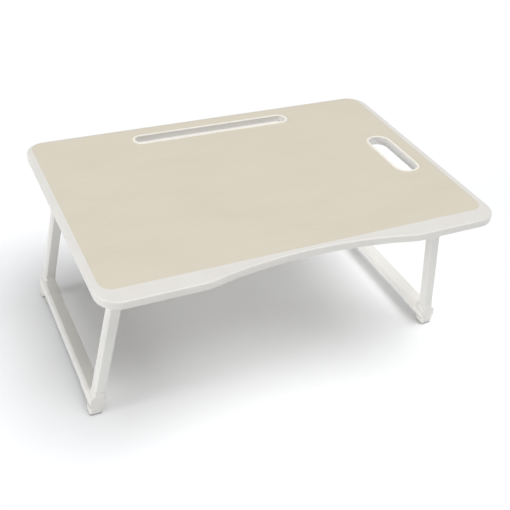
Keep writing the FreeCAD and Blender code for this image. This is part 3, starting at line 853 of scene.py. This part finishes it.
def grownMesh(name, tree, sizes, finish, places):  # places are (point, way that it faces)
    mesh = bpy.data.meshes.new(name + "Points")
    mesh.from_pydata([point for point, facing in places], [], [])
    ways = mesh.attributes.new("facing", "FLOAT_VECTOR", "POINT")
    for i, (point, facing) in enumerate(places):
        ways.data[i].vector = facing
    holder = bpy.data.objects.new(name + "Points", mesh)
    bpy.context.scene.collection.objects.link(holder)
    grower = holder.modifiers.new("growth", "NODES")
    grower.node_group = tree
    values = dict(sizes, Finish=finish)
    for socket in tree.interface.items_tree:
        if socket.in_out == "INPUT" and socket.name in values:
            grower[socket.identifier] = values[socket.name]
    bpy.context.view_layer.update()
    ready = holder.evaluated_get(bpy.context.evaluated_depsgraph_get())
    grown = bpy.data.meshes.new_from_object(ready)
    grown.name = name
    bpy.data.objects.remove(holder)
    return grown


bracketScrewLook = {
    "Head Radius": 3.5 * mm, "Head Height": 1.9 * mm, "Head Round": 1.0 * mm, "Shank Radius": 1.75 * mm,
    "Length": 10 * mm, "Tip Length": 3.5 * mm, "Tip Radius": 0.3 * mm, "Cross Arm": 3.6 * mm,
    "Cross Width": 0.9 * mm, "Cross Depth": 1.0 * mm, "Twist": math.pi, "Seed": 4,
}
fittingScrewLook = dict(bracketScrewLook, **{
    "Head Radius": 3 * mm, "Shank Radius": 1.5 * mm, "Length": 8 * mm, "Tip Length": 3 * mm, "Seed": 9,
})
rivetLook = {
    "Head Radius": 5 * mm, "Head Height": 1.8 * mm, "Head Round": 1.1 * mm, "Shank Radius": 3 * mm,
    "Grip": 26 * mm, "Twist": math.pi, "Seed": 2,
}
washerLook = {
    "Radius": 7 * mm, "Thickness": 0.8 * mm, "Edge Round": 0.15 * mm, "Hole Radius": 3.05 * mm,
    "Twist": math.pi, "Seed": 6,
}
hingeLook = {
    "plate": 2.5 * mm, "screwMargin": 8 * mm, "screwSide": 20 * mm, "fittingScrewDrop": 26 * mm,
    "washerGap": 0.1 * mm,
}


def bracketScrewPlaces():
    look = hingeLook
    places = []
    for side in sideNames:
        for end in endNames:
            low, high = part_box(side + "_" + end + "_hinge_bracket")
            for x in (low.x + look["screwMargin"], high.x - look["screwMargin"]):
                for away in (-look["screwSide"], look["screwSide"]):
                    point = (x, (low.y + high.y) / 2 + away, high.z - look["plate"])
                    places.append((point, (0, 0, -1)))
    return places


def fittingScrewPlaces(side):
    outward, upward = legAxes(side)
    places = []
    for end in endNames:
        point = hingePoint(side, end) - outward * (legLook["upright"][1] / 2)
        places.append((point - upward * hingeLook["fittingScrewDrop"], -outward))
    return places


def rivetPlaces():
    return [(hingePoint(side, end), (0, 1, 0)) for side in sideNames for end in endNames]


def washerPlaces():  # one on each side of the leg's end, round every rivet
    away = legLook["upright"][0] / 2 + hingeLook["washerGap"]
    places = []
    for point, facing in rivetPlaces():
        axis = Vector(facing)
        places += [(point + axis * sign * away, axis * sign) for sign in (-1, 1)]
    return places


def makeFasteners():
    screws = screwGrowth(bracketScrewLook)
    mesh = grownMesh("bracketScrews", screws, bracketScrewLook, zincSteel, bracketScrewPlaces())
    placePiece("bracketScrews", mesh, zincSteel, "tabletop",
               ["left_bracket_screws", "right_bracket_screws"])
    for side in sideNames:
        name = side + "FittingScrews"
        mesh = grownMesh(name, screws, fittingScrewLook, zincSteel, fittingScrewPlaces(side))
        placePiece(name, mesh, zincSteel, side + "_leg", [side + "_fitting_screws"])
    mesh = grownMesh("hingeRivets", rivetGrowth(rivetLook), rivetLook, zincSteel, rivetPlaces())
    placePiece("hingeRivets", mesh, zincSteel, "tabletop",
               [side + "_" + end + "_hinge_rivet" for side in sideNames for end in endNames])
    mesh = grownMesh("hingeWashers", washerGrowth(washerLook), washerLook, nylon, washerPlaces())
    placePiece("hingeWashers", mesh, nylon, "tabletop",
               [side + "_hinge_washers" for side in sideNames])


makeFasteners()
print("fasteners made")


# floor, light and camera

studioLook = {
    "floorSize": 24.0, "floorColour": paint(251, 252, 254), "floorRoughness": 0.9,
    "worldStrength": 0.22,  # the soft light from all round
    "backdropStrength": 0.96,  # the pale wall behind the floor, which lights nothing
    "keyStrength": 2.5, "keySpread": 50.0, "keyFrom": (0.20, -0.20, 1.0),
    "fillStrength": 1.15, "fillSpread": 16.0, "fillFrom": (-0.97, -0.05, 0.20),
    "cameraPlace": (-0.4957, -0.8933, 0.8963), "heading": 27.46, "tilt": 37.11, "roll": 5.20,
    "lens": 56.66, "sensor": 36.0, "sideShift": 0.049,
}


def makeFloor():
    look = studioLook
    build = bmesh.new()
    bmesh.ops.create_grid(build, x_segments=2, y_segments=2, size=look["floorSize"] / 2)
    mesh = bpy.data.meshes.new("studioFloor")
    build.to_mesh(mesh)
    build.free()
    floor = bpy.data.objects.new("studioFloor", mesh)
    bpy.context.scene.collection.objects.link(floor)
    material, tree, shader = startMaterial("paleFloor")
    shader.inputs["Base Color"].default_value = look["floorColour"]
    shader.inputs["Roughness"].default_value = look["floorRoughness"]
    mesh.materials.append(material)


def makeLights():
    look = studioLook
    world = bpy.data.worlds.new("studioWorld")
    world.use_nodes = True
    tree = world.node_tree
    straight = tree.nodes.new("ShaderNodeLightPath").outputs["Is Camera Ray"]
    strength = spread(tree, straight, 0.0, 1.0, look["worldStrength"], look["backdropStrength"])
    plug(tree, tree.nodes["Background"].inputs["Color"], (1, 1, 1, 1))
    plug(tree, tree.nodes["Background"].inputs["Strength"], strength)
    bpy.context.scene.world = world
    for name in ("key", "fill"):
        light = bpy.data.lights.new(name + "Light", "SUN")
        light.energy = look[name + "Strength"]
        light.angle = math.radians(look[name + "Spread"])
        lamp = bpy.data.objects.new(name + "Light", light)
        lamp.rotation_euler = Vector(look[name + "From"]).to_track_quat("Z", "Y").to_euler()
        bpy.context.scene.collection.objects.link(lamp)


def makeCamera():
    look = studioLook
    heading = math.radians(look["heading"])
    tilt = math.radians(look["tilt"])
    roll = math.radians(look["roll"])
    forward = Vector((math.sin(heading) * math.cos(tilt), math.cos(heading) * math.cos(tilt),
                      -math.sin(tilt)))
    level = Vector((math.cos(heading), -math.sin(heading), 0))
    upright = level.cross(forward)
    right = level * math.cos(roll) + upright * math.sin(roll)
    up = upright * math.cos(roll) - level * math.sin(roll)
    lens = bpy.data.cameras.new("photoCamera")
    lens.lens = look["lens"]
    lens.sensor_width = look["sensor"]
    lens.shift_x = look["sideShift"]
    camera = bpy.data.objects.new("photoCamera", lens)
    turn = Matrix((right, up, -forward)).transposed().to_4x4()
    camera.matrix_world = Matrix.Translation(look["cameraPlace"]) @ turn
    bpy.context.scene.collection.objects.link(camera)
    bpy.context.scene.camera = camera


makeFloor()
makeLights()
makeCamera()
bpy.context.scene.view_settings.view_transform = "Standard"
print("floor, light and camera made")
